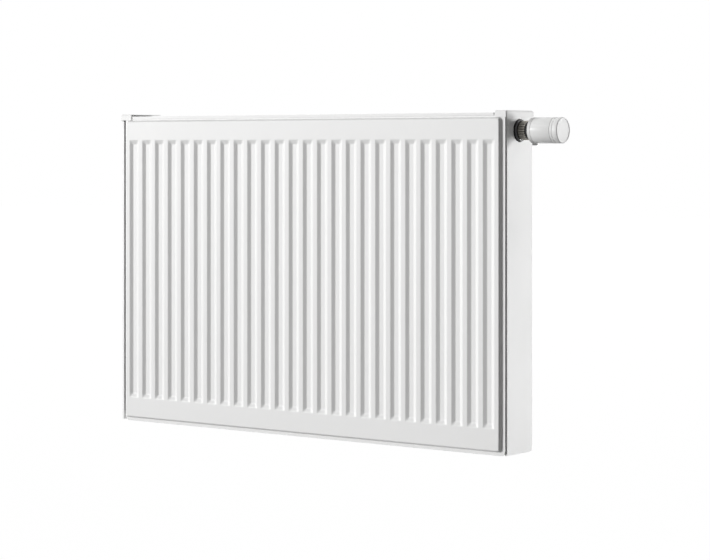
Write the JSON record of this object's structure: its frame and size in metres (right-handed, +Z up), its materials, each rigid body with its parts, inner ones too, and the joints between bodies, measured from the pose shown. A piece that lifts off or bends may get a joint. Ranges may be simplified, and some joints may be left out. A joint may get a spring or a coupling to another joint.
{
  "type": "panel radiator with thermostatic valve",
  "caption": "White steel double panel radiator with fluted face, side covers, top grille, hidden bottom pipe connections and a thermostatic head on its built-in valve.",
  "frame": {"origin": "on the wall side, at mid-length and at the bottom edge, on the back plane of the hanging lugs", "axes": "+X along the radiator towards the valve, +Y towards the wall, +Z up"},
  "size_m": [0.9959, 0.11, 0.604],
  "materials": {
    "white_enamel": "smooth baked white enamel, satin gloss",
    "bare_steel": "plain steel",
    "nickel": "dull nickel plating",
    "brass": "turned brass",
    "white_plastic": "smooth moulded white plastic",
    "black_plastic": "moulded black plastic",
    "rubber": "black sealing rubber",
    "capsule_metal": "drawn aluminium can"
  },
  "bodies": {
    "radiator": {"front_panel_face": "white_enamel", "front_panel_back": "white_enamel", "rear_panel_front": "white_enamel", "rear_panel_face": "white_enamel", "front_convector": "white_enamel", "rear_convector": "white_enamel", "left_side_cover": "white_enamel", "right_side_cover": "white_enamel", "upper_left_hub": "white_enamel", "lower_left_hub": "white_enamel", "lower_right_hub": "white_enamel", "valve_housing": "white_enamel", "riser_pipe": "white_enamel", "connection_block": "bare_steel", "hanging_lugs": "white_enamel", "blind_plugs": "nickel", "port_seals": "rubber", "vent_plug": "nickel", "valve_insert": "nickel", "gland_nut": "brass", "gland_seal": "rubber", "return_spring": "bare_steel", "valve_collar": "black_plastic", "union_nut": "nickel", "head_base": "black_plastic", "snap_ring": "black_plastic", "index_collar": "white_plastic"},
    "hand_wheel": {"hand_wheel": "white_plastic", "end_cap": "white_plastic", "limit_pins": "bare_steel"},
    "sensor": {"sensor_carriage": "black_plastic", "sensor_capsule": "capsule_metal", "push_rod": "bare_steel", "overtravel_spring": "bare_steel"},
    "spindle": {"valve_spindle": "bare_steel", "valve_disc": "brass", "disc_seal": "rubber"},
    "preset": {"preset_ring": "white_plastic"},
    "vent_screw": {"vent_screw": "nickel"},
    "vent_outlet": {"vent_outlet": "white_plastic"},
    "grille": {"top_grille": "white_enamel"}
  },
  "joints": [
    {"name": "wheel_turn", "type": "hinge", "parent": "radiator", "child": "hand_wheel", "pos_m": [0.4502, -0.061, 0.5688], "axis": [1, 0, 0], "range_deg": [-150, 150]},
    {"name": "sensor_travel", "type": "slide", "parent": "radiator", "child": "sensor", "axis": [1, 0, 0], "range_m": [-0.00151, 0.00151]},
    {"name": "spindle_travel", "type": "slide", "parent": "radiator", "child": "spindle", "axis": [1, 0, 0], "range_m": [-0.00151, 0.00151], "deforming": ["return_spring"]},
    {"name": "preset_turn", "type": "hinge", "parent": "radiator", "child": "preset", "pos_m": [0.4502, -0.061, 0.5688], "axis": [1, 0, 0], "range_deg": [0, 300]},
    {"name": "vent_turn", "type": "hinge", "parent": "radiator", "child": "vent_screw", "pos_m": [-0.4502, -0.061, 0.5688], "axis": [-1, 0, 0], "range_deg": [0, 360]},
    {"name": "outlet_swivel", "type": "hinge", "parent": "radiator", "child": "vent_outlet", "pos_m": [-0.4502, -0.061, 0.5688], "axis": [-1, 0, 0], "continuous": true},
    {"name": "grille_lift", "type": "slide", "parent": "radiator", "child": "grille", "axis": [0, 0, 1], "range_m": [0, 0.06]}
  ],
  "couplings": [
    {"joint": "sensor_travel", "follows": "wheel_turn", "m_per_rad": 0.00057296},
    {"joint": "spindle_travel", "follows": "wheel_turn", "m_per_rad": 0.00057296}
  ]
}
